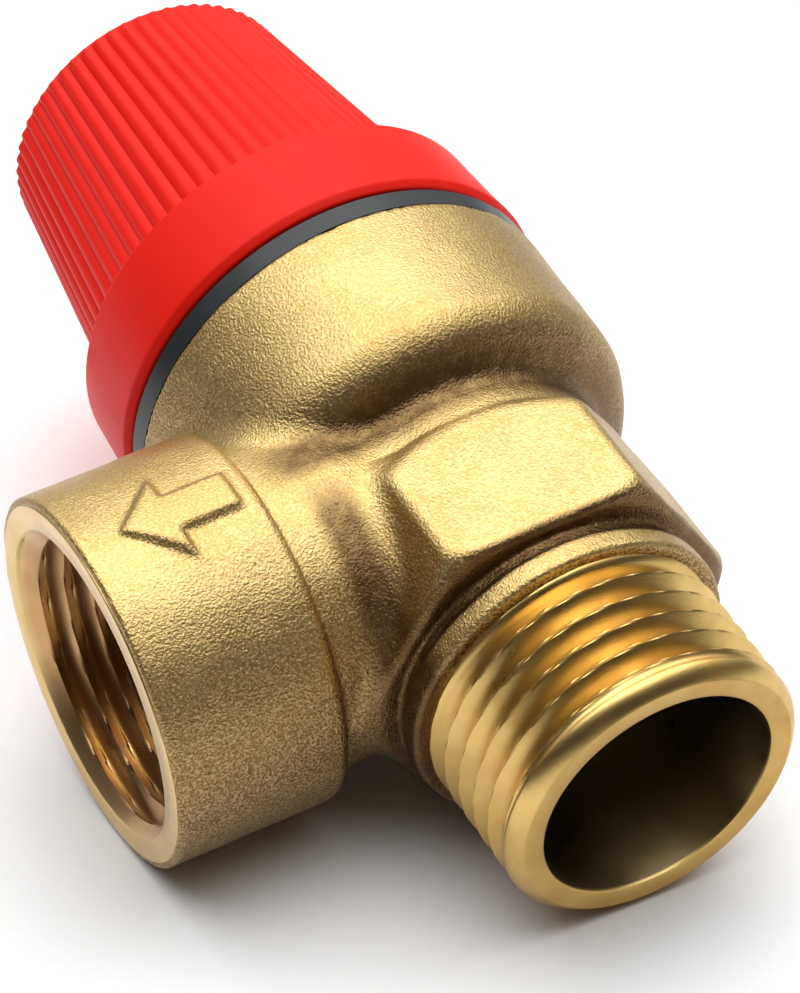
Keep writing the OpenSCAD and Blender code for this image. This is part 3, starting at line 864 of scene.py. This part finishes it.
def coil_height(turn):
    """Height of the spring wire's middle after some turns: closed at the ends and even between."""
    low = SPRING_LOW + SPRING_WIRE_R
    high = SPRING_HIGH - SPRING_WIRE_R
    closed = 2.1 * SPRING_WIRE_R
    return np.interp(turn, (0, 1, SPRING_TURNS - 1, SPRING_TURNS), (low, low + closed, high - closed, high))


def build_spring(steel):
    """The coil spring, closed at both ends and riding on the housing."""
    steps = 36
    sides = 12
    turns = np.arange(steps * SPRING_TURNS + 1)[:, None] / steps
    around = np.arange(sides)[None, :] * TURN / sides
    radii = SPRING_R + SPRING_WIRE_R * np.cos(around)
    heights = coil_height(turns) + SPRING_WIRE_R * np.sin(around)
    points = lathe_points(radii, heights, TURN * turns)
    faces = tube_faces(len(turns), sides)
    spring = piece("spring_coil", points, faces, steel, "housing", smooth_angle=50)
    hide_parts("spring")
    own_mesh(spring)


INNER_FINISHES = {
    "bonnet": moulded_plastic("bonnet_plastic", BLACK, WORN_BLACK, roughness=0.30, gloss=0.35),
    "top_cap": moulded_plastic("cap_plastic", RED, FADED_RED, roughness=0.42, gloss=0.14),
    "guide_bush": moulded_plastic("bush_plastic", WHITE, YELLOWED_WHITE, roughness=0.4),
    "disc_holder": cut_brass("holder_brass"),
    "adjusting_nut": cut_brass("adjuster_brass"),
}
STEEL = drawn_metal("plated_steel", PLATED_GREY, roughness=0.30)
RUBBER = soft_rubber("black_rubber")
RUBBER_NODES = ("bonnet_oring", "seat_seal")
REPLACED_NODES = ("valve_body", "knob", "diaphragm", "spring")


def finish_inner_nodes():
    """Gives every CAD node that still shows its own procedural material."""
    smooth_angle = math.radians(30)
    for name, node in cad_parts.items():
        if name in REPLACED_NODES:
            continue
        finish = RUBBER if name in RUBBER_NODES else INNER_FINISHES.get(name, STEEL)
        node.data.materials.clear()
        node.data.materials.append(finish)
        node.data.shade_smooth()
        node.data.set_sharp_from_angle(angle=smooth_angle)


build_body()
build_inlet_thread()
build_outlet_thread()
build_knob()
build_diaphragm(RUBBER)
build_spring(drawn_metal("spring_steel", SPRING_GREY, roughness=0.25))
finish_inner_nodes()


# ---------------------------------------------------------------- floor, light and camera
def build_floor():
    """A round pale table top."""
    sides = 96
    rings = (0.2, 0.6)
    points = [(0.0, 0.0, 0.0)]
    for ring in rings:
        for i in range(sides):
            angle = TURN * i / sides
            points.append((ring * math.cos(angle), ring * math.sin(angle), 0.0))
    faces = [(0, 1 + i, 1 + (i + 1) % sides) for i in range(sides)]
    for i in range(sides):
        ahead = (i + 1) % sides
        faces.append((1 + i, 1 + sides + i, 1 + sides + ahead, 1 + ahead))
    mesh = bpy.data.meshes.new("floor")
    mesh.from_pydata(points, [], faces)
    floor = bpy.data.objects.new("floor", mesh)
    bpy.context.scene.collection.objects.link(floor)
    mesh.materials.append(floor_material())


def add_softbox(name, place, aim, side, power):
    """A square area light that faces its aim."""
    light = bpy.data.lights.new(name, "AREA")
    light.shape = "SQUARE"
    light.size = side
    light.energy = power
    box = bpy.data.objects.new(name, light)
    box.location = place
    box.rotation_euler = (Vector(aim) - Vector(place)).to_track_quat("-Z", "Y").to_euler()
    bpy.context.scene.collection.objects.link(box)


def light_the_set():
    """A large soft light overhead in a room that is pale above and dark towards the inlet's side."""
    middle = (0.0, 0.0, 0.015)
    overhead = (-0.11, 0.09, 0.75)
    bright_side = (-0.42, 0.22, 0.88)
    add_softbox("overhead", overhead, middle, side=1.2, power=9.0)
    world = bpy.data.worlds.new("room")
    world.use_nodes = True
    nodes = world.node_tree.nodes
    links = world.node_tree.links
    place = nodes.new("ShaderNodeTexCoord")
    towards = nodes.new("ShaderNodeVectorMath")
    towards.operation = "DOT_PRODUCT"
    towards.inputs[1].default_value = bright_side
    ramp = nodes.new("ShaderNodeValToRGB")
    links.new(place.outputs["Generated"], towards.inputs[0])
    links.new(towards.outputs["Value"], ramp.inputs[0])
    links.new(ramp.outputs[0], nodes["Background"].inputs["Color"])
    stops = ((0.0, (0.030, 0.026, 0.024)), (0.35, (0.10, 0.095, 0.09)), (0.75, (0.90, 0.90, 0.90)))
    ramp.color_ramp.elements.new(0.5)
    for element, (position, colour) in zip(ramp.color_ramp.elements, stops):
        element.position = position
        element.color = (*colour, 1.0)
    bpy.context.scene.world = world


CAMERA_PLACE = Vector((0.228271, -0.112869, 0.203911))
CAMERA_AIM = Vector((0.003967, 0.004680, 0.014209))
CAMERA_ROLL = math.radians(-2.2010)
CAMERA_LENS = 174.02


def place_camera():
    """The camera that the picture is taken with, and a plain view transform."""
    camera = bpy.data.cameras.new("camera")
    camera.lens = CAMERA_LENS
    camera.sensor_width = 36.0
    camera.clip_start = 0.01
    holder = bpy.data.objects.new("camera", camera)
    turn = (CAMERA_AIM - CAMERA_PLACE).to_track_quat("-Z", "Y").to_matrix().to_4x4()
    holder.matrix_world = Matrix.Translation(CAMERA_PLACE) @ turn @ Matrix.Rotation(CAMERA_ROLL, 4, "Z")
    bpy.context.scene.collection.objects.link(holder)
    bpy.context.scene.camera = holder
    bpy.context.scene.view_settings.view_transform = "Standard"


build_floor()
light_the_set()
place_camera()
